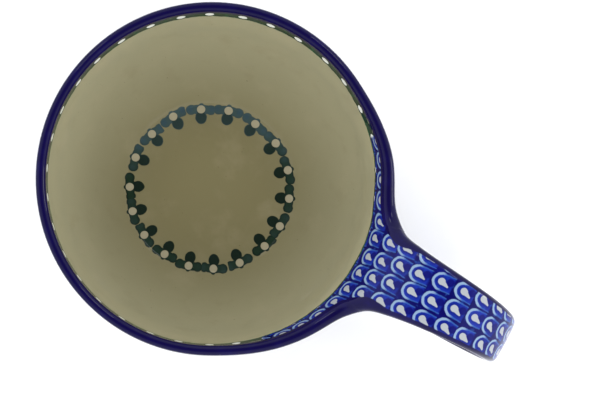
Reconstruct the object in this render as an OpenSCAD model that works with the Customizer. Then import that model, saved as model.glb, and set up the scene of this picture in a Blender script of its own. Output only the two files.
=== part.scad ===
// Polish stoneware mug: a wide soup mug with a broad strap handle that rises
// out of the lip, arches over and comes back to the lower wall.
// The mug stands on its foot ring. Origin: centre of the standing plane,
// +Z up, handle towards +X. Millimetres.

/* [Bowl] */
// Outer radius of the lip
rim_r = 70; // [66:0.5:74]
// Height of the lip above the standing plane
rim_h = 72; // [69:0.5:76]
// Thickness of the wall at the lip
lip_t = 4; // [3.5:0.1:4.5]
// Radius of the flat inside floor
floor_r = 35; // [33:0.5:36]
// Height of the inside floor above the standing plane
floor_h = 8.6; // [8:0.1:9.5]

/* [Foot] */
// Outer radius of the foot ring
foot_r = 37.5; // [37:0.5:39]
// Width of the foot ring's standing face
foot_w = 6.5; // [5:0.5:7]
// Height of the foot ring
foot_h = 3.6; // [3:0.1:3.9]

/* [Handle] */
// Distance from the bowl's axis to the outermost point of the handle
handle_reach = 135; // [132:0.5:138]
// Height of the handle's crest above the lip
crest_rise = 16; // [12:0.5:18]
// Distance from the bowl's axis to the handle's crest
crest_x = 98.5; // [96:0.5:101]
// Thickness of the strap
strap_t = 6.5; // [5.5:0.5:7.5]
// Half width of the strap where it leaves the lip's flare
strap_half_root = 16; // [14:0.5:17]
// Half width of the strap at its outermost point
strap_half_tip = 11.3; // [10:0.1:12]
// Angle from the handle's axis at which the flare leaves the lip
flare_angle = 38; // [34:1:40]
// Slope of the lower arm where it runs up to the wall
lower_arm_slope = 10; // [6:1:14]

/* [Joints] */
// Radius out to which the upper joint's clay reaches
upper_joint_r = 75; // [74:0.5:77]
// Radius out to which the lower joint's clay reaches
lower_joint_r = 68; // [67:0.5:69]

/* [Hidden] */
$fn = 96;
cobalt = "#211a63";
cream = "#a59b78";
bare_clay = "#c9b697";
slip_blue = "#2e3f96";
curve_steps = 16;
arc_step = 6;
// The wall's two curves run from the foot and the floor up to the lip
lip_r = lip_t / 2;
inner_r = rim_r - lip_t;
straight_h = rim_h - 12;
outer_curve = [[foot_r, foot_h], [foot_r + 18.5, foot_h + 8.4], [rim_r - 2.6, 34], [rim_r, straight_h]];
inner_curve = [[floor_r, floor_h], [floor_r + 16, floor_h + 9.5], [inner_r - 3.5, 38], [inner_r, rim_h - lip_r]];
// The strap's outer side is three arcs and a straight run, seen from the side
crest_z = rim_h + crest_rise;
rise_r = crest_x - inner_r + 1;
fall_r = handle_reach - crest_x;
tip_z = crest_z - fall_r;
return_r = 30;
return_x = handle_reach - return_r;
arm_turn = 90 + lower_arm_slope;
arm_run = 60;
strap_root_x = 83;
flare_blend = 12;
tip_corner_r = 4;
lower_half_wall = 15;
lower_blend = 9;
well_clear = 200;

// Point at share t along a cubic curve with control points p
function cubic(p, t) =
    pow(1 - t, 3) * p[0] + 3 * pow(1 - t, 2) * t * p[1] + 3 * (1 - t) * t * t * p[2] + pow(t, 3) * p[3];

// Points along a cubic curve, ends included
function cubic_points(p) = [for (i = [0:curve_steps]) cubic(p, i / curve_steps)];

// Points along a quadratic curve from a to b, pulled towards c
function corner_points(a, c, b) =
    [for (i = [0:curve_steps / 2]) let (t = 2 * i / curve_steps)
        pow(1 - t, 2) * a + 2 * t * (1 - t) * c + t * t * b];

// Points of an arc about a centre, from one angle to another
function arc_points(centre, r, from, to) =
    let (steps = ceil(abs(to - from) / arc_step))
    [for (i = [0:steps]) let (a = from + (to - from) * i / steps) centre + r * [cos(a), sin(a)]];

function reversed(list) = [for (i = [len(list) - 1:-1:0]) list[i]];

function mirrored_y(list) = [for (p = reversed(list)) [p[0], -p[1]]];

// Half section of the solid that the bowl's outside bounds
module outer_half_section() {
    polygon(concat([[0, foot_h]], cubic_points(outer_curve), [[rim_r, rim_h - lip_r], [0, rim_h - lip_r]]));
    translate([rim_r - lip_r, rim_h - lip_r]) circle(r = lip_r);
}

// Half section of the hollow inside the bowl
module inner_half_section() {
    polygon(concat([[0, floor_h]], cubic_points(inner_curve), [[0, rim_h - lip_r]]));
}

// The strap seen from the side: outer arcs out and back, then the inner ones
module strap_side() {
    arm_start = [return_x, tip_z] + return_r * [cos(-arm_turn), sin(-arm_turn)];
    arm_end = arm_start + arm_run * [-cos(lower_arm_slope), sin(lower_arm_slope)];
    inside = strap_t * [sin(lower_arm_slope), cos(lower_arm_slope)];
    polygon(concat(
        arc_points([crest_x, crest_z - rise_r], rise_r, 180, 90),
        arc_points([crest_x, tip_z], fall_r, 84, 0),
        arc_points([return_x, tip_z], return_r, -6, -arm_turn),
        [arm_end, arm_end + inside],
        arc_points([return_x, tip_z], return_r - strap_t, -arm_turn, 0),
        arc_points([crest_x, tip_z], fall_r - strap_t, 6, 90),
        arc_points([crest_x, crest_z - rise_r], rise_r - strap_t, 96, 180)
    ));
}

// One edge of the strap seen from above, from the bowl to the middle of the tip
function strap_edge(start, bend, blend) =
    let (along = (bend - start) / norm(bend - start))
    let (tip = [handle_reach, strap_half_tip])
    let (out = (tip - bend) / norm(tip - bend))
    let (corner = tip_corner_r * [1, 1])
    concat(
        [start],
        corner_points(bend - blend * along, bend, bend + blend * out),
        arc_points(tip - corner, tip_corner_r, 90, 0)
    );

module strap_outline(start, bend, blend) {
    edge = strap_edge(start, bend, blend);
    polygon(concat(edge, mirrored_y(edge)));
}

// The rise out of the lip is turned about the bowl's axis, so that it follows the round lip
module strap_rise() {
    rotate_extrude() intersection() {
        strap_side();
        translate([0, tip_z]) square([crest_x, well_clear]);
    }
}

// Past its crest the strap is straight across
module strap_straight_across() {
    translate([0, well_clear / 2, 0]) rotate([90, 0, 0]) linear_extrude(well_clear) strap_side();
}

// Upper half of the strap with its joint, before the bowl is cut out of it
module strap_upper_half() {
    start = rim_r * [cos(flare_angle), sin(flare_angle)];
    bend = [strap_root_x - 5, strap_half_root];
    intersection() {
        union() {
            strap_rise();
            difference() {
                strap_straight_across();
                cylinder(r = crest_x, h = well_clear);
            }
        }
        translate([0, 0, tip_z]) linear_extrude(well_clear) strap_outline(start, bend, flare_blend);
    }
}

// Lower half of the strap with its joint, before the bowl is cut out of it
module strap_lower_half() {
    start = [inner_r - 20, lower_half_wall + 3];
    bend = [rim_r, lower_half_wall - 1];
    intersection() {
        strap_straight_across();
        linear_extrude(tip_z) strap_outline(start, bend, lower_blend);
    }
}

// Everything that lies inside the bowl's outer surface
module inside_bowl() {
    rotate_extrude() intersection() {
        outer_half_section();
        square([rim_r, rim_h]);
    }
}

// The wheel-formed bowl, with a rounded lip and a flat inside floor
module bowl_body() {
    color(cream) rotate_extrude() difference() {
        outer_half_section();
        inner_half_section();
    }
}

// The turned foot, left bare so that the mug can stand in the kiln
module foot_ring() {
    color(bare_clay) rotate_extrude() translate([foot_r - foot_w, 0]) square([foot_w, foot_h]);
}

// Clay that joins the strap's broad upper end to the wall and the lip
module upper_slip_joint() {
    color(slip_blue) difference() {
        intersection() {
            strap_upper_half();
            cylinder(r = upper_joint_r, h = well_clear);
        }
        inside_bowl();
    }
}

// The strap between its two joints
module handle_strap() {
    color(cobalt) union() {
        difference() {
            strap_upper_half();
            cylinder(r = upper_joint_r, h = well_clear);
        }
        difference() {
            strap_lower_half();
            cylinder(r = lower_joint_r, h = well_clear);
        }
    }
}

// Clay that joins the strap's lower end to the wall
module lower_slip_joint() {
    color(slip_blue) difference() {
        intersection() {
            strap_lower_half();
            cylinder(r = lower_joint_r, h = well_clear);
        }
        inside_bowl();
    }
}

bowl_body();
foot_ring();
upper_slip_joint();
handle_strap();
lower_slip_joint();
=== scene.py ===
"""Polish stoneware mug: a wide, hand-stamped soup mug with a broad strap handle.

The mug stands upright on its bare foot ring, with its handle towards +X. Every
piece is fired clay: the thrown bowl, the turned foot, the pulled strap and the
two slip joints that hold the strap. The decoration is stamped on under a clear
glaze: rings of green daisies, a field of cobalt scales and a cobalt lip.
"""
import logging
import math
from collections.abc import Iterator
from contextlib import contextmanager
from dataclasses import dataclass, field
from enum import Enum

import bmesh
import bpy
import numpy as np
from mathutils import Matrix, Vector


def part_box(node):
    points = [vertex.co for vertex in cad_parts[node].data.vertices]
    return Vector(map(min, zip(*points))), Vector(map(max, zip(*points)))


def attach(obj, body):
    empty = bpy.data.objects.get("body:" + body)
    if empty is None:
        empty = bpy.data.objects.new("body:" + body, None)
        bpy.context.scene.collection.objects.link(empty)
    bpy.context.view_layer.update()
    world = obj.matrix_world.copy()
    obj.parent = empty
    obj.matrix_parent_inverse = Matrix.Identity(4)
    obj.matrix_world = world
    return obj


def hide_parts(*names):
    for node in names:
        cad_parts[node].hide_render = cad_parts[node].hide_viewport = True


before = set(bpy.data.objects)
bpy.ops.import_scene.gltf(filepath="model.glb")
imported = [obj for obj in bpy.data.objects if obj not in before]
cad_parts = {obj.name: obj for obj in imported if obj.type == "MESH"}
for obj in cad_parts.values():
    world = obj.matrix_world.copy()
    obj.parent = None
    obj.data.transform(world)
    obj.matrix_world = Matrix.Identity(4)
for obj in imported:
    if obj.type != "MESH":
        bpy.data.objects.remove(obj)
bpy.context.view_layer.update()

LOG = logging.getLogger("mug")
MM = 0.001
BODY = "root"


class Part(Enum):
    """The pieces that one continuous sheet of clay is cut into."""

    BOWL = 0
    JOINT = 1
    STRAP = 2


def smooth(x: np.ndarray) -> np.ndarray:
    """Returns x eased from 0 to 1, flat outside that range."""
    t = np.clip(x, 0.0, 1.0)
    return t * t * (3.0 - 2.0 * t)


def cubic(points: list[tuple[float, float]], count: int) -> np.ndarray:
    """Follows a cubic curve.

    Args:
        points: The curve's four control points.
        count: How many points to place along it.

    Returns:
        The points, one a row.
    """
    a, b, c, d = (np.array(p, float) for p in points)
    t = np.linspace(0.0, 1.0, count)[:, None]
    return (1 - t) ** 3 * a + 3 * (1 - t) ** 2 * t * b + 3 * (1 - t) * t * t * c + t**3 * d


def arc(centre: tuple[float, float], radius: float, start: float, end: float, count: int) -> np.ndarray:
    """Follows an arc.

    Args:
        centre: The arc's centre.
        radius: Its radius.
        start: The angle where it starts, in degrees.
        end: The angle where it ends, in degrees.
        count: How many points to place along it.

    Returns:
        The points, one a row.
    """
    angles = np.radians(np.linspace(start, end, count))
    return np.array(centre) + radius * np.stack([np.cos(angles), np.sin(angles)], 1)


def run_lengths(path: np.ndarray) -> np.ndarray:
    """Returns the distance along a path to each of its points."""
    steps = np.linalg.norm(np.diff(path, axis=0), axis=1)
    return np.concatenate([[0.0], np.cumsum(steps)])


def along(path: np.ndarray, distances: np.ndarray) -> np.ndarray:
    """Finds points at given distances along a path.

    Args:
        path: The path's points, one a row.
        distances: How far along it each wanted point lies.

    Returns:
        The wanted points, one a row.
    """
    lengths = run_lengths(path)
    return np.stack([np.interp(distances, lengths, path[:, k]) for k in range(path.shape[1])], 1)


def normals(path: np.ndarray) -> np.ndarray:
    """Returns the unit normals to the left of a path, one for each of its points."""
    tangent = np.gradient(path, axis=0)
    tangent /= np.linalg.norm(tangent, axis=1)[:, None]
    return np.stack([-tangent[:, 1], tangent[:, 0]], 1)


def linear(hex_colour: str) -> tuple[float, float, float, float]:
    """Turns an sRGB hex colour into linear light."""
    channels = [int(hex_colour[k:k + 2], 16) / 255.0 for k in (1, 3, 5)]
    return (*(c / 12.92 if c <= 0.04045 else ((c + 0.055) / 1.055) ** 2.4 for c in channels), 1.0)


def per_mm(size: float) -> float:
    """Returns the texture scale whose features are about size millimetres wide."""
    return 1.0 / (size * MM)


# ---------------------------------------------------------------- shader graph


def add_node(tree: bpy.types.NodeTree, kind: str, settings: dict, inputs: dict) -> bpy.types.Node:
    """Adds a node with its settings and links.

    Args:
        tree: The material's node tree.
        kind: The node's type name.
        settings: Its properties.
        inputs: A value, a socket or a Wire for each named or numbered input.

    Returns:
        The node.
    """
    node = tree.nodes.new(kind)
    for name, value in settings.items():
        setattr(node, name, value)
    for key, value in inputs.items():
        source = value.socket if isinstance(value, Wire) else value
        if isinstance(source, bpy.types.NodeSocket):
            tree.links.new(source, node.inputs[key])
        else:
            node.inputs[key].default_value = source
    return node


class Wire:
    """A number that varies over the surface, so that patterns read as formulas."""

    def __init__(self, tree: bpy.types.NodeTree, socket: bpy.types.NodeSocket) -> None:
        """Holds the tree and the socket that gives the number."""
        self.tree = tree
        self.socket = socket

    def apply(self, operation: str, *others: "Wire | float") -> "Wire":
        """Combines this number with others by one math operation."""
        inputs = dict(enumerate((self, *others)))
        node = add_node(self.tree, "ShaderNodeMath", {"operation": operation}, inputs)
        return Wire(self.tree, node.outputs[0])

    def __add__(self, other: "Wire | float") -> "Wire":
        """Returns the sum."""
        return self.apply("ADD", other)

    def __sub__(self, other: "Wire | float") -> "Wire":
        """Returns the difference."""
        return self.apply("SUBTRACT", other)

    def __mul__(self, other: "Wire | float") -> "Wire":
        """Returns the product."""
        return self.apply("MULTIPLY", other)

    def __truediv__(self, other: "Wire | float") -> "Wire":
        """Returns the quotient."""
        return self.apply("DIVIDE", other)

    def __neg__(self) -> "Wire":
        """Returns the number with its sign turned."""
        return self.apply("MULTIPLY", -1.0)

    def __abs__(self) -> "Wire":
        """Returns the number without its sign."""
        return self.apply("ABSOLUTE")

    def least(self, other: "Wire | float") -> "Wire":
        """Returns the lesser number."""
        return self.apply("MINIMUM", other)

    def most(self, other: "Wire | float") -> "Wire":
        """Returns the greater number."""
        return self.apply("MAXIMUM", other)

    def hypot(self, other: "Wire") -> "Wire":
        """Returns the length of the vector that the two numbers make."""
        return (self * self + other * other).apply("SQRT")

    def ramp(self, start: float, end: float) -> "Wire":
        """Returns 0 at start easing to 1 at end."""
        node = add_node(self.tree, "ShaderNodeMapRange", {"interpolation_type": "SMOOTHSTEP", "clamp": True},
                        {0: self, 1: start, 2: end, 3: 0.0, 4: 1.0})
        return Wire(self.tree, node.outputs[0])


@dataclass
class Turned:
    """Local coordinates of a stamp, in millimetres: across it and up it."""

    across: Wire
    up: Wire

    def rotated(self, angle: Wire) -> "Turned":
        """Returns the coordinates turned by an angle in radians."""
        c, s = angle.apply("COSINE"), angle.apply("SINE")
        return Turned(self.across * c + self.up * s, self.up * c - self.across * s)

    def from_point(self, across: float, up: float) -> Wire:
        """Returns the distance from a point."""
        return (self.across - across).hypot(self.up - up)

    def from_stroke(self, start: tuple[float, float], end: tuple[float, float],
                    r_start: float, r_end: float) -> Wire:
        """Measures the distance outside a brush stroke with round ends.

        Args:
            start: Centre of the stroke's first end.
            end: Centre of its last end.
            r_start: Radius of the first end.
            r_end: Radius of the last end.

        Returns:
            The distance, negative inside the stroke.
        """
        dx, dy = end[0] - start[0], end[1] - start[1]
        px, py = self.across - start[0], self.up - start[1]
        share = ((px * dx + py * dy) / (dx * dx + dy * dy)).most(0.0).least(1.0)
        gap = (px - share * dx).hypot(py - share * dy)
        return gap - (share * (r_end - r_start) + r_start)


class Surface:
    """The numbers that every glaze reads: place on the clay and random draws."""

    def __init__(self, tree: bpy.types.NodeTree) -> None:
        """Reads Object coordinates and the sheet's own attributes, in millimetres."""
        self.tree = tree
        self.position = add_node(tree, "ShaderNodeTexCoord", {}, {}).outputs["Object"]
        split = add_node(tree, "ShaderNodeSeparateXYZ", {}, {0: self.position})
        self.x = Wire(tree, split.outputs[0]) / MM
        self.y = Wire(tree, split.outputs[1]) / MM
        self.z = Wire(tree, split.outputs[2]) / MM
        self.radius = self.x.hypot(self.y)
        self.azimuth = self.y.apply("ARCTAN2", self.x)
        clay = add_node(tree, "ShaderNodeAttribute",
                        {"attribute_type": "GEOMETRY", "attribute_name": "clay"}, {})
        parts = add_node(tree, "ShaderNodeSeparateXYZ", {}, {0: clay.outputs["Vector"]})
        self.run = Wire(tree, parts.outputs[0])
        self.side = Wire(tree, parts.outputs[1])
        self.from_edge = Wire(tree, parts.outputs[2])

    def noise(self, size: float, detail: float = 2.0) -> Wire:
        """Returns noise centred on 0, from about -0.5 to 0.5, with features of a size in millimetres."""
        node = add_node(self.tree, "ShaderNodeTexNoise", {},
                        {"Vector": self.position, "Scale": per_mm(size), "Detail": detail, "Roughness": 0.55})
        return Wire(self.tree, node.outputs[0]) - 0.5

    def draws(self, first: Wire, second: Wire | float) -> tuple[Wire, Wire, Wire]:
        """Returns three random numbers from 0 to 1 for a whole-numbered cell."""
        cell = add_node(self.tree, "ShaderNodeCombineXYZ", {}, {0: first, 1: second})
        random = add_node(self.tree, "ShaderNodeTexWhiteNoise", {"noise_dimensions": "2D"},
                          {"Vector": cell.outputs[0]})
        split = add_node(self.tree, "ShaderNodeSeparateColor", {}, {0: random.outputs["Color"]})
        return tuple(Wire(self.tree, split.outputs[k]) for k in range(3))


class Paint:
    """A stack of colour washes, each laid over the last."""

    def __init__(self, surface: Surface, ground: str) -> None:
        """Starts from a ground colour."""
        self.surface = surface
        self.colour = linear(ground)

    def wash(self, colour: str | bpy.types.NodeSocket, cover: Wire) -> None:
        """Lays a colour over the stack.

        Args:
            colour: An sRGB hex colour or another stack's socket.
            cover: How much of it covers, from 0 to 1.
        """
        upper = linear(colour) if isinstance(colour, str) else colour
        node = add_node(self.surface.tree, "ShaderNodeMix", {"data_type": "RGBA", "blend_type": "MIX"},
                        {0: cover, 6: self.colour, 7: upper})
        self.colour = node.outputs[2]


@dataclass(frozen=True)
class Daisy:
    """A sponge-stamped daisy: a bare dot, two side petals, one upright petal and a pointed back.

    Sizes are in millimetres. The ink is near black where the sponge was wet, and
    thins to a grey blue where it was nearly dry. On one side of the floor ring the
    grey blue is also a painted reflection of bright light on the glaze.
    """

    dot_r: float = 1.7
    side_reach: float = 4.05
    side_r: float = 2.1
    upright_reach: float = 3.55
    upright_r: float = 2.65
    back_r: float = 2.3
    back_reach: float = 1.6
    stem_start: float = 0.8
    stem_r: float = 1.95
    stem_tip_r: float = 1.7
    neck_r: float = 1.8
    neck_tip_r: float = 1.6
    blur: float = 0.13
    ink: str = "#16281e"
    leaf: str = "#263c2a"
    deep_ink: str = "#16241c"
    # Grey blues for the ink's random paleness, and for a painted reflection on the glaze.
    pale_ink_and_reflection: str = "#51666a"
    pale_tip_and_reflection: str = "#3e5560"

    def stamp(self, paint: Paint, at: Turned, wobble: Wire, tint: Wire, seen: Wire, dot: str) -> None:
        """Stamps the flower.

        Args:
            paint: The colours that it goes on.
            at: The stamp's own coordinates.
            wobble: Uneven edge, in millimetres.
            tint: Number from 0 to 1 that shifts the green towards pale blue, partly the ink's random paleness
                and partly a painted reflection.
            seen: Where the stamp may show.
            dot: Colour of the bare dot.
        """
        folded = Turned(abs(at.across), at.up)
        side = folded.from_point(self.side_reach, 0.0) - self.side_r + wobble
        stem = folded.from_stroke((self.stem_start, 0.0), (self.side_reach, 0.0),
                                  self.stem_r, self.stem_tip_r) + wobble
        upright = at.from_point(0.0, self.upright_reach) - self.upright_r + wobble
        neck = at.from_stroke((0.0, 0.0), (0.0, self.upright_reach), self.neck_r, self.neck_tip_r) + wobble
        back = at.from_stroke((0.0, 0.0), (0.0, -self.back_reach), self.back_r, 1.0) + wobble
        core = at.from_point(0.0, 0.0) - self.dot_r + wobble * 0.35
        body = side.least(stem).least(upright).least(neck)
        shape = body.least(back).ramp(self.blur, -self.blur) * seen
        tip = folded.from_point(self.side_reach + 0.4, -0.3).ramp(1.9, 0.3)
        paint.wash(self.ink, shape)
        paint.wash(self.leaf, body.ramp(-0.2, -1.1) * seen * 0.55)
        # Grey blue: the ink's own random paleness, and on the floor ring a painted reflection of bright
        # light.
        paint.wash(self.pale_ink_and_reflection, shape * tint * 0.75)
        paint.wash(self.pale_tip_and_reflection, tip * shape * tint)
        paint.wash(self.deep_ink, upright.least(neck).ramp(self.blur, -0.5) * seen * (tint * -0.35 + 0.9))
        paint.wash(dot, core.ramp(self.blur * 0.7, -self.blur * 0.7) * seen)


@dataclass(frozen=True)
class Scales:
    """The field of stamped cobalt scales, each a pale horseshoe round a cream drop.

    The two steps lead from one stamp to its neighbours, in millimetres along the
    strap and across it. The cobalt pools dark between stamps and brightens in them.
    """

    row_step: tuple[float, float] = (8.45, 0.9)
    next_row: tuple[float, float] = (0.0, -8.0)
    origin: tuple[float, float] = (3.9, 1.0)
    shoe_r: float = 3.2
    shoe_w: float = 0.46
    jitter: float = 0.9
    lead: float = 0.38
    drop_r: float = 1.4
    pool: str = "#06054e"
    thin_pool: str = "#0e1270"
    brushed: str = "#162c90"
    streak: str = "#2850a0"
    outline: str = "#04004a"
    notch: str = "#060052"
    pale: str = "#7f98b2"
    pale_leg: str = "#31589c"
    cream: str = "#9b9fa2"

    def cell(self, surface: Surface, run: Wire, side: Wire) -> tuple[Turned, Wire, Wire]:
        """Finds the stamp that covers each point.

        Args:
            surface: The piece's numbers.
            run: Distance along the strap, in millimetres.
            side: Distance across it.

        Returns:
            The stamp's coordinates and two random numbers for it.
        """
        (ax, ay), (bx, by) = self.row_step, self.next_row
        det = ax * by - ay * bx
        run, side = run - self.origin[0], side - self.origin[1]
        i = run * (by / det) - side * (bx / det)
        j = side * (ax / det) - run * (ay / det)
        column, row = (i + 0.5).apply("FLOOR"), (j + 0.5).apply("FLOOR")
        di, dj = i - column, j - row
        first, second, third = surface.draws(column, row)
        across = di * ax + dj * bx + (first - 0.5) * self.jitter
        up = di * ay + dj * by + (second - 0.5) * self.jitter
        return Turned(across + self.lead, up).rotated((third - 0.5) * 0.25), first, third

    def lay(self, paint: Paint, run: Wire, side: Wire, seen: Wire) -> None:
        """Stamps the whole field.

        Args:
            paint: The colours that it goes on.
            run: Distance along the strap, in millimetres.
            side: Distance across it.
            seen: Where the field may show.
        """
        surface = paint.surface
        at, tint, wet = self.cell(surface, run, side)
        wobble = surface.noise(1.7) * 0.55
        behind = at.across.least(0.0).hypot(at.up)
        legs = at.across.ramp(-2.2, 2.8)
        half = legs * -0.24 + self.shoe_w
        shoe = (abs(behind - self.shoe_r + wobble) - half).ramp(0.18, -0.16) * at.across.ramp(5.2, 4.2)
        inside = (behind - self.shoe_r).ramp(0.1, -0.3) * at.across.ramp(5.0, 3.6)
        tail = at.from_stroke((0.3, -0.1), (2.6, -1.1), 1.15, 0.35)
        drop = at.from_point(-0.05, 0.1).least(tail + self.drop_r) - self.drop_r + wobble * 0.6
        notch = at.from_point(3.1, 1.0) - 1.5 + wobble
        stack = Paint(surface, self.pool)
        stack.wash(self.thin_pool, surface.noise(6.0, 3.0).ramp(0.0, 0.25) * 0.8)
        stack.wash(self.brushed, inside * (wet * 0.35 + 0.55))
        stack.wash(self.streak, surface.noise(2.4, 2.0).ramp(0.06, 0.3) * 0.45)
        stack.wash(self.outline, (drop - 0.75).ramp(0.4, -0.3) * (tint * 0.3 + 0.25))
        stack.wash(self.notch, notch.ramp(0.35, -0.35) * 0.8)
        pale = Paint(surface, self.pale)
        pale.wash(self.pale_leg, legs.ramp(0.1, 0.75))
        stack.wash(pale.colour, shoe * (legs * -0.25 + 0.95))
        stack.wash(self.cream, drop.ramp(0.12, -0.12))
        paint.wash(stack.colour, seen)


@dataclass(frozen=True)
class StonewareGlaze:
    """Clear gloss glaze over khaki-cream stoneware.

    The glaze is glassy and a little uneven, so highlights are bright and soft at
    their edges, and the stamped colours lie under it. Radii and heights are in
    millimetres, and angles from the handle in radians.
    """

    name: str
    clay: str = "#9b9678"
    # Colour of the painted shade towards the bowl's centre.
    clay_painted_shade: str = "#857d59"
    lip: str = "#0b043c"
    gloss: float = 0.022
    specular: float = 0.12
    floor_ring_r: float = 33.8
    floor_count: int = 18
    rim_count: int = 34
    # Heading, in radians, of the side where the floor ring's flowers carry a painted reflection.
    reflection_heading: float = 2.1
    drift: float = 0.13
    drift_heading: float = 3.2
    floor_top_h: float = 14.0
    rim_ring_h: float = 65.7
    rim_band_h: float = 65.5
    rim_band_half: float = 2.3
    field_h: float = 64.2
    field_x: float = 72.5
    field_half_angle: float = 0.76
    scale_line_h: float = 40.6
    low_line_h: float = 22.2
    outer_ring_h: float = 30.5
    outer_count: int = 32

    def ground(self, surface: Surface) -> Paint:
        """Lays the clay's own colour, with its mottling and fine iron specks, and a painted shade that
        darkens it towards the axis.
        """
        paint = Paint(surface, self.clay)
        # Painted shade: the clay darkens the nearer it lies to the axis, most on the bowl's floor and low on
        # the outside.
        paint.wash(self.clay_painted_shade, surface.radius.ramp(62.0, 20.0) * 0.9)
        paint.wash("#a59c7e", surface.noise(14.0, 3.0).ramp(0.0, 0.3) * 0.35)
        paint.wash("#837a5a", surface.noise(9.0, 4.0).ramp(0.02, 0.3) * 0.22)
        specks = surface.noise(0.9, 1.0).ramp(0.21, 0.27) * surface.noise(3.0, 1.0).ramp(0.08, 0.16)
        paint.wash("#5a4a30", specks * 0.55)
        return paint

    def daisy_ring(self, paint: Paint, count: int, radius: float, up: Wire, seen: Wire, dot: str,
                   phase: float = 0.0, painted_reflection: float = 0.0) -> None:
        """Stamps a ring of daisies round the bowl's axis.

        Args:
            paint: The colours that it goes on.
            count: How many flowers the ring has.
            radius: Radius at which the ring lies, in millimetres.
            up: Distance from the ring towards the upright petal.
            seen: Where the ring may show.
            dot: Colour of each flower's dot.
            phase: Angle of one flower from the handle, in radians.
            painted_reflection: How strongly a painted reflection pales the flowers on the side of the ring
                that faces the brightest light.
        """
        surface = paint.surface
        step = 2.0 * math.pi / count
        drift = (surface.azimuth - self.drift_heading).apply("COSINE") * self.drift
        turns = (surface.azimuth - phase) / step - drift
        cell = (turns + 0.5).apply("FLOOR")
        first, second, third = surface.draws(cell.apply("WRAP", float(count), 0.0), float(count))
        across = (turns - cell) * (step * radius) + (first - 0.5) * 1.5
        at = Turned(across, up + (second - 0.5) * 0.7).rotated((third - 0.5) * 0.3)
        # Painted reflection: the flowers on the side of the ring that faces the brightest light turn grey
        # blue.
        side = (surface.azimuth - self.reflection_heading).apply("COSINE").ramp(0.1, 0.95)
        Daisy().stamp(paint, at, surface.noise(1.8) * 0.4, side * painted_reflection + first * 0.12, seen, dot)

    def lip_wash(self, paint: Paint, on_bowl: float, on_strap: float) -> None:
        """Paints the cobalt band that runs round every edge, darker within a couple of millimetres of the
        very edge.
        """
        surface = paint.surface
        cobalt = Paint(surface, self.lip)
        cobalt.wash("#130c54", surface.noise(6.0, 3.0).ramp(-0.05, 0.3) * 0.7)
        cobalt.wash("#08042c", surface.from_edge.ramp(2.6, 0.4) * 0.5)
        width = surface.x.ramp(76.0, 88.0) * (on_strap - on_bowl) + on_bowl
        edge = surface.from_edge - width + surface.noise(4.0) * 0.6
        paint.wash(cobalt.colour, edge.ramp(0.18, -0.18))

    def finish(self, paint: Paint) -> None:
        """Connects the colours to a glassy surface with slow waves and fine pitting."""
        surface = paint.surface
        tree = surface.tree
        waves = surface.noise(16.0, 1.0) * 0.05 + surface.noise(1.6, 1.0) * 0.006
        bump = add_node(tree, "ShaderNodeBump", {}, {"Strength": 1.0, "Distance": MM, "Height": waves})
        rough = surface.noise(11.0, 3.0) * 0.02 + self.gloss
        glaze = add_node(tree, "ShaderNodeBsdfPrincipled", {},
                         {"Base Color": paint.colour, "Roughness": rough, "Normal": bump.outputs[0],
                          "IOR": 1.5, "Specular IOR Level": self.specular})
        add_node(tree, "ShaderNodeOutputMaterial", {}, {"Surface": glaze.outputs[0]})

    def new_surface(self) -> tuple[bpy.types.Material, Surface]:
        """Makes the empty material and its surface numbers."""
        material = bpy.data.materials.new(self.name)
        material.use_nodes = True
        material.node_tree.nodes.clear()
        return material, Surface(material.node_tree)

    def inside(self) -> bpy.types.Material:
        """Paints the side that faces into the bowl and over the top of the strap."""
        material, surface = self.new_surface()
        paint = self.ground(surface)
        on_floor = surface.z.ramp(self.floor_top_h + 2.0, self.floor_top_h - 2.0)
        inward = -(surface.radius - self.floor_ring_r)
        self.daisy_ring(paint, self.floor_count, self.floor_ring_r, inward, on_floor, "#b3ab90", 0.069, 0.8)
        rim_up = surface.z - self.rim_ring_h
        from_band = abs(surface.z - self.rim_band_h + surface.noise(3.0) * 1.2) - self.rim_band_half
        band = from_band.ramp(0.25, -0.25)
        paint.wash("#1f4a32", band)
        on_wall = surface.z.ramp(40.0, 44.0) * surface.radius.ramp(75.0, 74.0)
        self.daisy_ring(paint, self.rim_count, 65.0, rim_up, on_wall, "#e2e4da", 0.03)
        near_handle = abs(surface.azimuth).ramp(self.field_half_angle + 0.01, self.field_half_angle - 0.01)
        above = (surface.z + surface.noise(5.0) * 0.6).ramp(self.field_h - 0.2, self.field_h + 0.2)
        beyond = surface.x.ramp(self.field_x - 0.5, self.field_x + 0.5)
        Scales().lay(paint, surface.run, surface.side, above.most(beyond) * near_handle)
        self.lip_wash(paint, 4.4, 2.1)
        self.finish(paint)
        return material

    def outside(self) -> bpy.types.Material:
        """Paints the bowl's outside and the underside of the strap."""
        material, surface = self.new_surface()
        paint = self.ground(surface)
        on_bowl = (surface.radius - surface.z.ramp(50.0, 60.0) * 11.0).ramp(69.8, 69.2)
        height = surface.z
        girth = surface.azimuth * 66.0
        start = self.scale_line_h
        scales = (height + surface.noise(5.0) * 0.5).ramp(start, start + 0.4) * on_bowl
        Scales(row_step=(0.0, 8.64), next_row=(8.2, 4.2)).lay(paint, height, girth, scales)
        for level in (self.scale_line_h, self.low_line_h):
            line = abs(height - level + surface.noise(8.0) * 0.4)
            paint.wash("#1c1a78", line.ramp(0.62, 0.38) * on_bowl)
        ring_seen = on_bowl * height.ramp(21.0, 22.0)
        self.daisy_ring(paint, self.outer_count, 62.0, height - self.outer_ring_h, ring_seen, "#bcb9a6")
        self.lip_wash(paint, 5.0, 3.0)
        paint.wash("#6b5236", height.ramp(4.6, 3.9) * 0.8)
        self.finish(paint)
        return material


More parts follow.
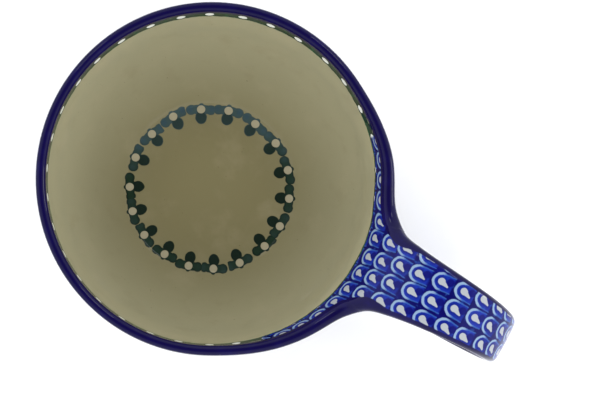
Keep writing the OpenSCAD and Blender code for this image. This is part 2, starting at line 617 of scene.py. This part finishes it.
@dataclass(frozen=True)
class CobaltSlip:
    """Cobalt brushed over the smoothed clay of the lower joint, under the clear glaze."""

    name: str = "cobalt_slip_under_gloss_glaze"

    def material(self) -> bpy.types.Material:
        """Builds the brushed cobalt: dark pools, thin streaks and a glassy coat."""
        glaze = StonewareGlaze(self.name)
        material, surface = glaze.new_surface()
        paint = Paint(surface, "#0b043c")
        paint.wash("#130c54", surface.noise(4.0, 3.0).ramp(-0.02, 0.25) * 0.7)
        glaze.finish(paint)
        return material


@dataclass(frozen=True)
class BareClay:
    """Unglazed fired stoneware: matt, warm and slightly gritty, with turning rings."""

    name: str = "bare_fired_stoneware"

    def material(self) -> bpy.types.Material:
        """Builds the matt clay with its grit, toasted patches and turning marks."""
        material = bpy.data.materials.new(self.name)
        material.use_nodes = True
        tree = material.node_tree
        tree.nodes.clear()
        surface = Surface(tree)
        paint = Paint(surface, "#bfa988")
        paint.wash("#9c7f5a", surface.noise(8.0, 3.0).ramp(-0.05, 0.25) * 0.6)
        paint.wash("#6e563c", surface.noise(0.8, 1.0).ramp(0.18, 0.26) * 0.6)
        rings = (surface.radius * 9.0).apply("SINE") * 0.02
        height = rings + surface.noise(0.5, 2.0) * 0.12
        bump = add_node(tree, "ShaderNodeBump", {}, {"Strength": 1.0, "Distance": MM, "Height": height})
        clay = add_node(tree, "ShaderNodeBsdfPrincipled", {},
                        {"Base Color": paint.colour, "Roughness": surface.noise(3.0) * 0.1 + 0.85,
                         "Normal": bump.outputs[0], "IOR": 1.45})
        add_node(tree, "ShaderNodeOutputMaterial", {}, {"Surface": clay.outputs[0]})
        return material


# ---------------------------------------------------------------- clay


def deselect() -> None:
    """Leaves nothing selected and no edit mode open."""
    if bpy.context.object and bpy.context.object.mode != "OBJECT":
        bpy.ops.object.mode_set(mode="OBJECT")
    bpy.ops.object.select_all(action="DESELECT")


def pick(piece: bpy.types.Object) -> bpy.types.Object:
    """Makes a piece the only selected and active one."""
    deselect()
    piece.select_set(True)
    bpy.context.view_layer.objects.active = piece
    return piece


@contextmanager
def editing(piece: bpy.types.Object) -> Iterator[None]:
    """Opens edit mode on one piece with everything selected, and closes it afterwards."""
    pick(piece)
    bpy.ops.object.mode_set(mode="EDIT")
    bpy.ops.mesh.select_all(action="SELECT")
    yield
    bpy.ops.object.mode_set(mode="OBJECT")


def merge(piece: bpy.types.Object, gap: float) -> None:
    """Merges a piece's points that lie within a gap in millimetres."""
    with editing(piece):
        bpy.ops.mesh.remove_doubles(threshold=gap * MM)


def apply_modifier(piece: bpy.types.Object, kind: str, **settings: object) -> None:
    """Adds one modifier to a piece and applies it.

    Args:
        piece: The piece.
        kind: The modifier's type name.
        settings: Its properties.
    """
    pick(piece)
    modifier = piece.modifiers.new(kind.title(), kind)
    for name, value in settings.items():
        setattr(modifier, name, value)
    bpy.ops.object.modifier_apply(modifier=modifier.name)


def grid_sheet(name: str, places: np.ndarray, clay: np.ndarray, walls: np.ndarray) -> bpy.types.Object:
    """Shapes a grid primitive into a sheet of clay.

    Args:
        name: The sheet's name.
        places: Rows by columns of points, in millimetres.
        clay: Rows by columns of the numbers that the glaze reads.
        walls: Rows by columns of the sheet's thickness, in millimetres.

    Returns:
        The sheet, one face thick.
    """
    rows, columns = places.shape[:2]
    deselect()
    bpy.ops.mesh.primitive_grid_add(x_subdivisions=columns - 1, y_subdivisions=rows - 1, size=0.1)
    sheet = bpy.context.object
    sheet.name = name
    mesh = sheet.data
    mesh.vertices.foreach_set("co", (places * MM).reshape(-1))
    mesh.attributes.new("clay", "FLOAT_VECTOR", "POINT").data.foreach_set("vector", clay.reshape(-1))
    mesh.attributes.new("wall", "FLOAT", "POINT").data.foreach_set("value", walls.reshape(-1))
    mesh.attributes.new("part", "INT", "FACE")
    mesh.update()
    return sheet


@dataclass
class MugForm:
    """The mug's shape in millimetres, worked out from the CAD nodes' boxes."""

    rim_r: float = field(init=False)
    rim_h: float = field(init=False)
    base_h: float = field(init=False)
    foot_r: float = field(init=False)
    reach: float = field(init=False)
    crest_h: float = field(init=False)
    # Thicknesses of the clay, and the wall's outline above the foot as radius and height.
    lip_t: float = 4.0
    wall_t: float = 5.4
    floor_t: float = 5.0
    strap_t: float = 6.5
    bend_h: float = 49.0
    strap_angle: float = 13.0
    # The flare: how far round it starts, and how the lip swells and rises towards the strap.
    flare_angle: float = 62.0
    belly: tuple[tuple[float, float], ...] = ((53.5, 15.0), (64.9, 36.0))
    neck_h: float = 65.0
    flare_swell: float = 3.6
    flare_blend: float = 40.0
    root_rise: float = 6.0
    root_fade: float = 4.47
    joint_h: float = 76.5
    joint_lean: float = 47.4
    # The strap seen from the side: its crest, its arcs and its straight lower arm.
    crest_back: float = 31.0
    crest_lift: float = 1.5
    tip_allowance: float = 1.6
    rise_r: float = 36.9
    rise_start: float = 132.6
    fall_h: float = 34.75
    return_r: float = 26.75
    arm_slope: float = 10.0
    arm_run: float = 39.0
    # The strap's half width, and what is added near its root with the run over which it fades.
    arm_half: float = 8.9
    root_extra: tuple[float, float] = (2.2, 5.2)
    taper_extra: tuple[float, float] = (7.2, 46.0)
    end_widening: float = 1.3

    def __post_init__(self) -> None:
        """Reads the sizes that the CAD nodes set."""
        bowl_low, bowl_high = (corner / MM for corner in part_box("bowl_body"))
        strap_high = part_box("handle_strap")[1] / MM
        self.rim_r, self.rim_h, self.base_h = bowl_high.x, bowl_high.z, bowl_low.z
        self.foot_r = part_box("foot_ring")[1].x / MM
        self.reach, self.crest_h = strap_high.x, strap_high.z

    @property
    def crest_x(self) -> float:
        """Returns how far out the strap's crest lies."""
        return self.reach - self.crest_back

    def wall_path(self) -> np.ndarray:
        """Follows the middle of the clay from the floor's centre up the wall."""
        floor_h = self.base_h + self.floor_t / 2.0
        floor = np.stack([np.linspace(0.0, self.foot_r - 2.1, 60), np.full(60, floor_h)], 1)
        corner = (self.foot_r - 1.25, floor_h)
        wall = cubic([corner, *self.belly, (self.rim_r - self.lip_t / 2.0, self.neck_h)], 400)
        wall = wall[np.linalg.norm(wall - corner, axis=1) > 0.9]
        path = np.concatenate([floor, wall])
        return path[path[:, 1] <= self.bend_h]

    def out_of_round(self, angle: float) -> float:
        """Returns how far the thrown rim strays from a true circle, at an angle in degrees."""
        turn = math.radians(angle)
        oval = 0.2 * (math.cos(2.0 * turn) + math.sin(2.0 * turn))
        tight = 1.1 * math.exp(-(((angle - 23.0) / 9.0) ** 2))
        return 0.43 + 0.3 * math.cos(turn) + 0.4 * math.sin(turn) - oval - tight

    def flare_r(self, angle: float) -> float:
        """Returns the lip's outer radius, before it strays, at an angle from the handle in degrees."""
        swell = self.flare_swell * float(smooth(np.array((self.flare_angle - angle) / self.flare_blend)))
        beside = max(angle - self.strap_angle, 0.0)
        return self.rim_r + swell + self.root_rise * math.exp(-beside / self.root_fade)

    def rise_path(self, angle: float, start: np.ndarray, heading: np.ndarray) -> tuple[np.ndarray, float]:
        """Follows the middle of the clay from the wall's bend to the lip or the strap.

        Args:
            angle: Angle from the handle, in degrees, with its sign.
            start: Where the bend starts, as radius and height.
            heading: The wall's direction there.

        Returns:
            The path, and the clay's thickness at its end.
        """
        outline = self.flare_r(abs(angle))
        roll = float(np.clip((outline - self.rim_r) / (self.flare_swell + self.root_rise), 0.0, 1.0))
        outline += self.out_of_round(angle)
        lean = math.radians(self.joint_lean) * roll**0.72
        thick = self.lip_t + (self.strap_t - self.lip_t) * float(smooth(np.array(roll * 1.15)))
        lift = (self.joint_h - self.rim_h) * (0.4 * roll + 0.6 * roll**3.3)
        end = np.array([outline - thick / 2.0 * (1.0 - math.sin(lean)), self.rim_h + lift])
        reach = 0.36 * float(np.linalg.norm(end - start))
        finish = np.array([math.sin(lean), math.cos(lean)])
        return cubic([start, start + heading * reach, end - finish * reach, end], 120), thick

    def strap_path(self) -> np.ndarray:
        """Follows the middle of the strap, seen from the side, from the flare to the wall."""
        middle_crest = self.crest_h + self.crest_lift - self.strap_t / 2.0
        reach = self.reach + self.tip_allowance - self.strap_t / 2.0
        tip_h = middle_crest - self.fall_h
        rise = arc((self.crest_x, middle_crest - self.rise_r), self.rise_r, self.rise_start, 90.0, 60)
        fall = arc((self.crest_x, tip_h), self.fall_h, 90.0, 0.0, 120)[1:]
        fall[:, 0] = self.crest_x + (fall[:, 0] - self.crest_x) * (reach - self.crest_x) / self.fall_h
        back = arc((reach - self.return_r, tip_h), self.return_r, 0.0, -90.0 - self.arm_slope, 120)[1:]
        slope = math.radians(self.arm_slope)
        run = np.linspace(0.0, self.arm_run, 60)[1:, None]
        arm = back[-1] + run * np.array([-math.cos(slope), math.sin(slope)])
        return np.concatenate([rise, fall, back, arm])

    def strap_half(self, run: np.ndarray) -> np.ndarray:
        """Returns the strap's half width at distances along it from the flare."""
        narrowing = self.arm_half
        for extra, fade in (self.root_extra, self.taper_extra):
            narrowing = narrowing + extra * np.exp(-run / fade)
        return narrowing + self.end_widening * smooth((run - 120.0) / 40.0)


@dataclass
class ClaySheet:
    """The whole glazed shell, shaped as one sheet and then cut into its pieces."""

    form: MugForm
    edge_steps: int = 7
    edge_band: float = 0.18
    strap_columns: int = 25
    flare_columns: int = 40
    back_columns: int = 62
    joint_rows: int = 22
    joint_angle: float = 38.0

    def __post_init__(self) -> None:
        """Works out where the sheet's columns and edge rows lie, close together at every edge."""
        form, inner = self.form, 1.0 - self.edge_band
        fine = 1.0 - np.cos(np.linspace(0.0, math.pi / 2.0, self.edge_steps))
        rim = self.edge_band * fine
        middle = np.linspace(-inner, inner, self.strap_columns)
        self.across = np.concatenate([rim[:-1] - 1.0, middle, 1.0 - rim[::-1][1:]])
        growth = np.cumsum(np.linspace(0.28, 2.0, self.flare_columns))
        outward = form.strap_angle + growth / growth[-1] * (form.flare_angle - form.strap_angle)
        round_back = np.linspace(form.flare_angle, 180.0, self.back_columns)[1:]
        positive = np.concatenate([outward, round_back])
        self.angles = np.concatenate([-positive[::-1], self.across * form.strap_angle, positive])
        self.edge_share = fine

    def bowl_rows(self) -> tuple[np.ndarray, np.ndarray, np.ndarray]:
        """Places every point of the bowl and its flare.

        Returns:
            The points, the glaze's numbers and the thickness, rows by columns.
        """
        form = self.form
        wall = form.wall_path()
        length = run_lengths(wall)[-1]
        low = along(wall, np.concatenate([np.linspace(0.0, 33.0, 12), np.linspace(34.0, 39.0, 14),
                                          np.linspace(40.5, length, 34)]))
        heading = wall[-1] - wall[-4]
        heading /= np.linalg.norm(heading)
        low_t = np.interp(low[:, 1], [6.0, 12.0, 30.0, form.bend_h], [form.floor_t, 5.4, 6.0, form.wall_t])
        places, runs, thick = [], [], []
        for angle in self.angles:
            path, end_t = form.rise_path(angle, wall[-1], heading)
            rise_length = run_lengths(path)[-1]
            curl = end_t / 2.0
            stops = np.concatenate([np.linspace(0.0, rise_length - curl, 24)[1:],
                                    rise_length - curl * self.edge_share[::-1][1:]])
            section = np.concatenate([low, along(path, stops)])
            theta = math.radians(angle)
            radius, height = section[:, 0], section[:, 1]
            places.append(np.stack([radius * math.cos(theta), radius * math.sin(theta), height], 1))
            runs.append(np.concatenate([run_lengths(low) - length, stops]))
            rise_t = form.wall_t + (end_t - form.wall_t) * smooth(stops / rise_length)
            thick.append(np.concatenate([low_t, rise_t]))
        places, runs, thick = (np.stack(rows, 1) for rows in (places, runs, thick))
        radius = np.hypot(places[..., 0], places[..., 1])
        side = radius * np.radians(self.angles)[None, :]
        return places, np.stack([runs, side], -1), thick

    def strap_rows(self, first_row: np.ndarray,
                   first_run: float) -> tuple[np.ndarray, np.ndarray, np.ndarray]:
        """Places every point of the strap.

        Args:
            first_row: The row of points that it grows from.
            first_run: Distance along the clay at that row.

        Returns:
            The points, the glaze's numbers and the thickness, rows by columns.
        """
        form = self.form
        path = form.strap_path()
        length = run_lengths(path)[-1]
        stops = np.concatenate([np.linspace(0.0, 8.0, 12), np.linspace(9.0, length, 118)])
        middle = along(path, stops)
        half = form.strap_half(stops)
        side = half[:, None] * self.across[None, :]
        bow = (1.0 - smooth(stops / 18.0))[:, None]
        root_r = np.hypot(first_row[0, 0], first_row[0, 1])
        sag = root_r - np.sqrt(root_r**2 - np.minimum(np.abs(side), 18.5) ** 2)
        crown = -0.55 * self.across[None, :] ** 2 * smooth(stops / 30.0)[:, None]
        normal = normals(middle)
        x = middle[:, 0:1] - sag * bow + crown * normal[:, 0:1]
        z = middle[:, 1:2] + crown * normal[:, 1:2] + np.zeros_like(side)
        places = np.stack([x, side, z], -1)
        fit = (1.0 - smooth(stops / 10.0))[:, None, None]
        places = places + (first_row[None] - places[0][None]) * fit
        thick = np.interp(stops, [0.0, 90.0, length], [form.strap_t, 6.0, 6.8])[:, None] + np.zeros_like(side)
        runs = (first_run + stops)[:, None] + np.zeros_like(side)
        return places, np.stack([runs, places[..., 1]], -1), thick

    def build(self) -> bpy.types.Object:
        """Shapes the sheet, gives it its thickness and rounds every edge.

        Returns:
            The closed shell, before it is cut into pieces.
        """
        bowl, bowl_clay, bowl_t = self.bowl_rows()
        centre = np.abs(self.angles) <= self.form.strap_angle + 1e-6
        strap, strap_clay, strap_t = self.strap_rows(bowl[-1][centre], float(bowl_clay[-1, centre, 0].mean()))
        strap_clay[0] = bowl_clay[-1][centre]
        edge = np.concatenate([bowl[-1][~centre], bowl[-1][centre][[0, -1]], strap[:, 0], strap[:, -1]])
        sheets = []
        parts = (("bowl", bowl, bowl_clay, bowl_t), ("strap", strap, strap_clay, strap_t))
        for name, places, clay, walls in parts:
            flat = places.reshape(-1, 3)
            gap = np.concatenate([np.linalg.norm(chunk[:, None] - edge[None], axis=2).min(1)
                                  for chunk in np.array_split(flat, 40)]).reshape(walls.shape)
            rounding = np.sqrt(1.0 - (1.0 - np.clip(gap / (walls / 2.0), 0.0, 1.0)) ** 2)
            numbers = np.concatenate([clay, gap[..., None]], -1)
            sheets.append(grid_sheet(name, places, numbers, walls * rounding))
        self.mark_parts(sheets, bowl.shape[:2])
        shell = pick(sheets[0])
        sheets[1].select_set(True)
        bpy.ops.object.join()
        merge(shell, 0.004)
        self.thicken(shell)
        return shell

    def mark_parts(self, sheets: list[bpy.types.Object], shape: tuple[int, int]) -> None:
        """Marks which piece each face belongs to.

        Args:
            sheets: The bowl's sheet and the strap's.
            shape: Rows and columns of the bowl's sheet.
        """
        rows, columns = shape[0] - 1, shape[1] - 1
        marks = np.full((rows, columns), Part.BOWL.value)
        middle = (self.angles[1:] + self.angles[:-1]) / 2.0
        marks[-self.joint_rows:, np.abs(middle) < self.joint_angle] = Part.JOINT.value
        sheets[0].data.attributes["part"].data.foreach_set("value", marks.reshape(-1))
        count = len(sheets[1].data.polygons)
        sheets[1].data.attributes["part"].data.foreach_set("value", np.full(count, Part.STRAP.value))

    def thicken(self, shell: bpy.types.Object) -> None:
        """Gives the sheet its thickness, with its inner side facing up and inwards."""
        mesh = shell.data
        floor_face = min(mesh.polygons, key=lambda p: p.center.xy.length + abs(p.center.z))
        if floor_face.normal.z < 0.0:
            with editing(shell):
                bpy.ops.mesh.flip_normals()
        walls = np.empty(len(mesh.vertices))
        mesh.attributes["wall"].data.foreach_get("value", walls)
        thickest = float(walls.max())
        group = shell.vertex_groups.new(name="wall")
        for index, wall in enumerate(walls):
            group.add([index], wall / thickest, "REPLACE")
        twins = np.arange(len(mesh.vertices))
        mesh.attributes.new("twin", "INT", "POINT").data.foreach_set("value", twins)
        mesh.materials.append(None)
        mesh.materials.append(None)
        apply_modifier(shell, "SOLIDIFY", thickness=thickest * MM, offset=0.0, vertex_group="wall",
                       use_rim=False, material_offset=1, use_quality_normals=True)
        merge(shell, 0.002)
        shell.vertex_groups.clear()
        shell.data.attributes.remove(shell.data.attributes["wall"])


def cut_piece(shell: bpy.types.Object, part: Part, name: str) -> bpy.types.Object:
    """Takes one piece out of a copy of the shell and closes its cut.

    Args:
        shell: The whole shell.
        part: Which piece to keep.
        name: The piece's name.

    Returns:
        The piece, with the shell's own shading normals so that its seams don't show.
    """
    piece = pick(shell).copy()
    piece.data = shell.data.copy()
    bpy.context.scene.collection.objects.link(piece)
    piece.name = piece.data.name = name
    normals = np.empty(len(shell.data.vertices) * 3)
    shell.data.vertex_normals.foreach_get("vector", normals)
    piece.data.attributes.new("smooth_normal", "FLOAT_VECTOR", "POINT").data.foreach_set("vector", normals)
    mesh = bmesh.new()
    mesh.from_mesh(piece.data)
    mark = mesh.faces.layers.int["part"]
    others = [face for face in mesh.faces if face[mark] != part.value]
    bmesh.ops.delete(mesh, geom=others, context="FACES")
    skin = len(mesh.faces)
    close_cut(mesh)
    mesh.to_mesh(piece.data)
    mesh.free()
    pick(piece)
    bpy.ops.object.shade_smooth()
    keep_normals(piece.data, skin)
    return piece


def close_cut(mesh: bmesh.types.BMesh) -> None:
    """Closes a cut by joining each open edge of the inner skin to its twin on the outer skin.

    Args:
        mesh: The cut piece.
    """
    twin = mesh.verts.layers.int["twin"]
    open_edges: dict[frozenset[int], list[bmesh.types.BMEdge]] = {}
    for edge in mesh.edges:
        if edge.is_boundary:
            open_edges.setdefault(frozenset(vertex[twin] for vertex in edge.verts), []).append(edge)
    for pair in open_edges.values():
        if len(pair) != 2:
            continue
        (a, b), (c, d) = pair[0].verts, pair[1].verts
        if c[twin] != a[twin]:
            c, d = d, c
        mesh.faces.new(list(dict.fromkeys([a, b, d, c])))
    mesh.normal_update()
    bmesh.ops.recalc_face_normals(mesh, faces=mesh.faces[:])


def keep_normals(mesh: bpy.types.Mesh, skin: int) -> None:
    """Shades a cut piece with the normals of the whole shell.

    Args:
        mesh: The piece's mesh.
        skin: How many of its faces are skin. The rest close the cut.
    """
    stored = np.empty(len(mesh.vertices) * 3)
    mesh.attributes["smooth_normal"].data.foreach_get("vector", stored)
    stored = stored.reshape(-1, 3)
    corner_vertex = np.empty(len(mesh.loops), int)
    mesh.loops.foreach_get("vertex_index", corner_vertex)
    corners = stored[corner_vertex]
    for face in list(mesh.polygons)[skin:]:
        corners[list(face.loop_indices)] = face.normal
    mesh.normals_split_custom_set(corners.tolist())
    mesh.attributes.remove(mesh.attributes["smooth_normal"])
    mesh.attributes.remove(mesh.attributes["part"])
    mesh.attributes.remove(mesh.attributes["twin"])


@dataclass
class LowerJoint:
    """The collar of smoothed clay where the strap's lower end meets the wall."""

    form: MugForm
    spread: float = 5.0
    length: float = 6.5
    around: int = 72
    rows: int = 16
    back_off: float = 30.0
    width_at: float = 22.0
    half_thickness: float = 3.25
    side_inset: float = 0.35
    square_side: float = 0.32
    square_face: float = 0.75
    flatness: float = 1.4
    wall_skin: float = 3.0
    wall_start: int = 70
    embed: float = 0.3
    clearance: float = 0.05

    def outside_wall(self) -> np.ndarray:
        """Returns the bowl's outside as radius and height, from just above the foot up."""
        wall = self.form.wall_path()
        return (wall - normals(wall) * self.wall_skin)[self.wall_start:]

    def wall_distance(self, start: np.ndarray, heading: np.ndarray, wall: np.ndarray) -> float:
        """Finds how far a straight line runs before it meets the bowl's outside.

        Args:
            start: Where the line starts.
            heading: Its direction.
            wall: The outside wall as radius and height, from the foot up.

        Returns:
            The distance.
        """
        steps = np.linspace(0.0, 40.0, 1600)
        points = start + steps[:, None] * heading
        gap = np.hypot(points[:, 0], points[:, 1]) - np.interp(points[:, 2], wall[:, 1], wall[:, 0])
        return float(steps[np.argmax(gap <= 0.0)])

    def ring(self, step: float, start: np.ndarray, heading: np.ndarray, half_w: float) -> list[np.ndarray]:
        """Places one ring of the collar.

        Args:
            step: 0 for the ring that hugs the strap, 1 for the ring that lies on the wall.
            start: The middle of the strap, well before the wall.
            heading: The strap's direction there, towards the wall.
            half_w: The strap's half width.

        Returns:
            The ring's points.
        """
        wall = self.outside_wall()
        upward = np.array([heading[2], 0.0, -heading[0]])
        turn = step * math.pi / 2.0
        offset = self.spread * (1.0 - math.cos(turn)) + self.clearance
        back = self.length * (1.0 - math.sin(turn))
        points = []
        for angle in np.linspace(0.0, 2.0 * math.pi, self.around, endpoint=False):
            c, s = math.cos(angle), math.sin(angle)
            side = math.copysign(abs(c) ** self.square_side, c) * (half_w - self.side_inset)
            face = math.copysign(abs(s) ** self.square_face, s) * self.half_thickness
            length = math.hypot(c, s * self.flatness)
            point = start + np.array([0.0, side + offset * c / length, 0.0])
            point = point + upward * (face + offset * s * self.flatness / length)
            reach = self.wall_distance(point, heading, wall) - back + self.embed * step
            points.append(point + heading * reach)
        return points

    def build(self) -> bpy.types.Object:
        """Shapes the collar round the strap's end.

        Returns:
            The closed collar.
        """
        path = self.form.strap_path()
        length = run_lengths(path)[-1]
        end = path[-1] - path[-2]
        end /= np.linalg.norm(end)
        heading = np.array([end[0], 0.0, end[1]])
        middle = along(path, np.array([length - self.back_off]))[0]
        start = np.array([middle[0], 0.0, middle[1]])
        half_w = float(self.form.strap_half(np.array([length - self.width_at]))[0])
        steps = np.linspace(0.0, 1.0, self.rows)
        places = np.array([self.ring(step, start, heading, half_w) for step in steps])
        closed = np.concatenate([places, places[:, :1]], 1)
        collar = grid_sheet("lower_joint_collar", closed, np.zeros_like(closed), np.zeros(closed.shape[:2]))
        merge(collar, 0.005)
        with editing(collar):
            bpy.ops.mesh.select_all(action="DESELECT")
            bpy.ops.mesh.select_mode(type="EDGE")
            bpy.ops.mesh.select_non_manifold(extend=False)
            bpy.ops.mesh.fill(use_beauty=True)
            bpy.ops.mesh.select_all(action="SELECT")
            bpy.ops.mesh.normals_make_consistent(inside=False)
        bpy.ops.object.shade_smooth_by_angle(angle=math.radians(50.0))
        return collar


@dataclass
class FootRing:
    """The turned foot: a low ring with softened edges."""

    form: MugForm
    width: float = 6.5
    soften: float = 0.7
    steps: int = 192

    def build(self) -> bpy.types.Object:
        """Spins the foot's section round the bowl's axis.

        Returns:
            The closed ring.
        """
        outer, inner, top = self.form.foot_r, self.form.foot_r - self.width, self.form.base_h + 0.05
        deselect()
        bpy.ops.mesh.primitive_plane_add(size=1.0)
        foot = bpy.context.object
        foot.name = "turned_foot"
        corners = [(inner, 0.0), (outer, 0.0), (inner, top), (outer, top)]
        for vertex, (radius, height) in zip(foot.data.vertices, corners):
            vertex.co = Vector((radius, 0.0, height)) * MM
        with editing(foot):
            bpy.ops.mesh.bevel(offset=self.soften * MM, segments=5, affect="VERTICES")
            bpy.ops.mesh.select_all(action="SELECT")
            bpy.ops.mesh.delete(type="ONLY_FACE")
            bpy.ops.mesh.select_all(action="SELECT")
            bpy.ops.mesh.spin(steps=self.steps, angle=2.0 * math.pi, center=(0, 0, 0), axis=(0, 0, 1))
            bpy.ops.mesh.select_all(action="SELECT")
            bpy.ops.mesh.remove_doubles(threshold=0.005 * MM)
            bpy.ops.mesh.normals_make_consistent(inside=False)
        bpy.ops.object.shade_smooth_by_angle(angle=math.radians(40.0))
        return foot


@dataclass(frozen=True)
class Softbox:
    """A square softbox that faces the mug: heading in degrees from +X, metres and watts."""

    name: str
    heading: float
    height: float
    reach: float
    size: float
    power: float
    mirrored: bool = True

    def hang(self) -> None:
        """Hangs the softbox in its place, and hides a broad fill from the glaze's reflections."""
        angle = math.radians(self.heading)
        place = Vector((self.reach * math.cos(angle), self.reach * math.sin(angle), self.height))
        bpy.ops.object.light_add(type="AREA", location=place)
        lamp = bpy.context.object
        lamp.name = self.name
        lamp.data.size = self.size
        lamp.data.energy = self.power
        lamp.visible_glossy = self.mirrored
        lamp.rotation_mode = "QUATERNION"
        lamp.rotation_quaternion = (place - Vector((0.0, 0.0, 0.05))).to_track_quat("Z", "Y")


@dataclass
class Studio:
    """The floor, the lights and the camera."""

    form: MugForm
    aim: tuple[float, float] = (35.2, 9.4)
    distance: float = 1001.0
    tilt: float = 4.33
    heading: float = -99.4
    image_up: float = 118.56
    lens: float = 150.8
    horizon_glow: float = 1.9
    zenith_glow: float = 0.3
    dim_from: float = 0.62
    dim_to: float = 0.985

    def floor(self) -> None:
        """Lays the plain pale floor that the mug stands on."""
        deselect()
        bpy.ops.mesh.primitive_plane_add(size=6.0, location=(0.0, 0.0, 0.0))
        floor = bpy.context.object
        floor.name = "studio_floor"
        material = bpy.data.materials.new("pale_paper_sweep")
        material.use_nodes = True
        shader = material.node_tree.nodes["Principled BSDF"]
        shader.inputs["Base Color"].default_value = linear("#f7f7f8")
        shader.inputs["Roughness"].default_value = 0.9
        floor.data.materials.append(material)

    def camera(self) -> None:
        """Looks down into the bowl, turned so that the handle points to the lower right."""
        tilt, heading, up_heading = (math.radians(a) for a in (self.tilt, self.heading, self.image_up))
        away = math.sin(tilt)
        back = Vector((away * math.cos(heading), away * math.sin(heading), math.cos(tilt)))
        aim = Vector((*self.aim, self.form.rim_h)) * MM
        up = Vector((math.cos(up_heading), math.sin(up_heading), 0.0))
        right = up.cross(back).normalized()
        up = back.cross(right)
        bpy.ops.object.camera_add()
        camera = bpy.context.object
        camera.data.lens = self.lens
        camera.data.sensor_width = 36.0
        camera.data.clip_end = 20.0
        turn = Matrix((right, up, back)).transposed().to_4x4()
        camera.matrix_world = Matrix.Translation(aim + back * self.distance * MM) @ turn
        bpy.context.scene.camera = camera

    def build(self) -> None:
        """Sets up the whole studio."""
        self.floor()
        self.camera()
        up = self.image_up
        for box in (Softbox("left_softbox", up + 40.0, 1.3, 1.0, 0.24, 1.6),
                    Softbox("right_softbox", up - 40.0, 1.3, 1.0, 0.24, 1.6),
                    Softbox("side_softbox", up - 82.0, 0.45, 1.2, 0.3, 2.4),
                    Softbox("fill_panel", up + 180.0, 1.3, 1.1, 1.0, 7.5, mirrored=False)):
            box.hang()
        bpy.context.scene.view_settings.view_transform = "Standard"
        self.room()

    def room(self) -> None:
        """Surrounds the mug with a pale room that is dim only straight overhead."""
        world = bpy.data.worlds.new("soft_room")
        bpy.context.scene.world = world
        world.use_nodes = True
        tree = world.node_tree
        way = add_node(tree, "ShaderNodeSeparateXYZ", {},
                       {0: add_node(tree, "ShaderNodeNewGeometry", {}, {}).outputs["Position"]})
        glow = add_node(tree, "ShaderNodeMapRange", {"interpolation_type": "SMOOTHSTEP", "clamp": True},
                        {0: way.outputs[2], 1: self.dim_from, 2: self.dim_to, 3: self.horizon_glow,
                         4: self.zenith_glow})
        background = tree.nodes["Background"]
        background.inputs["Color"].default_value = linear("#f6f8fd")
        tree.links.new(glow.outputs[0], background.inputs["Strength"])


def dress(piece: bpy.types.Object, node: str, materials: list[bpy.types.Material]) -> None:
    """Gives a piece its finishes and its place in the frame.

    Args:
        piece: The piece.
        node: The CAD node that it stands for.
        materials: Its finishes, in the order of its material indices.
    """
    while len(piece.data.materials) < len(materials):
        piece.data.materials.append(None)
    for index, material in enumerate(materials):
        piece.data.materials[index] = material
    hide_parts(node)
    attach(piece, BODY)
    LOG.info("%s stands for %s: %d faces", piece.name, node, len(piece.data.polygons))


def main() -> None:
    """Builds the mug, its pieces in the order that a potter makes them, and the studio."""
    logging.basicConfig(level=logging.INFO, format="%(name)s: %(message)s")
    form = MugForm()
    shell = ClaySheet(form).build()
    bowl = cut_piece(shell, Part.BOWL, "thrown_bowl")
    joint = cut_piece(shell, Part.JOINT, "upper_joint_flare")
    strap = cut_piece(shell, Part.STRAP, "pulled_strap")
    bpy.data.objects.remove(shell)
    collar = LowerJoint(form).build()
    foot = FootRing(form).build()
    glaze_in = StonewareGlaze("stamped_gloss_glaze_inside").inside()
    glaze_out = StonewareGlaze("stamped_gloss_glaze_outside").outside()
    dress(bowl, "bowl_body", [glaze_in, glaze_out])
    dress(joint, "upper_slip_joint", [glaze_in, glaze_out])
    dress(strap, "handle_strap", [glaze_in, glaze_out])
    dress(collar, "lower_slip_joint", [CobaltSlip().material()])
    dress(foot, "foot_ring", [BareClay().material()])
    Studio(form).build()


if __name__ == "__main__":
    main()
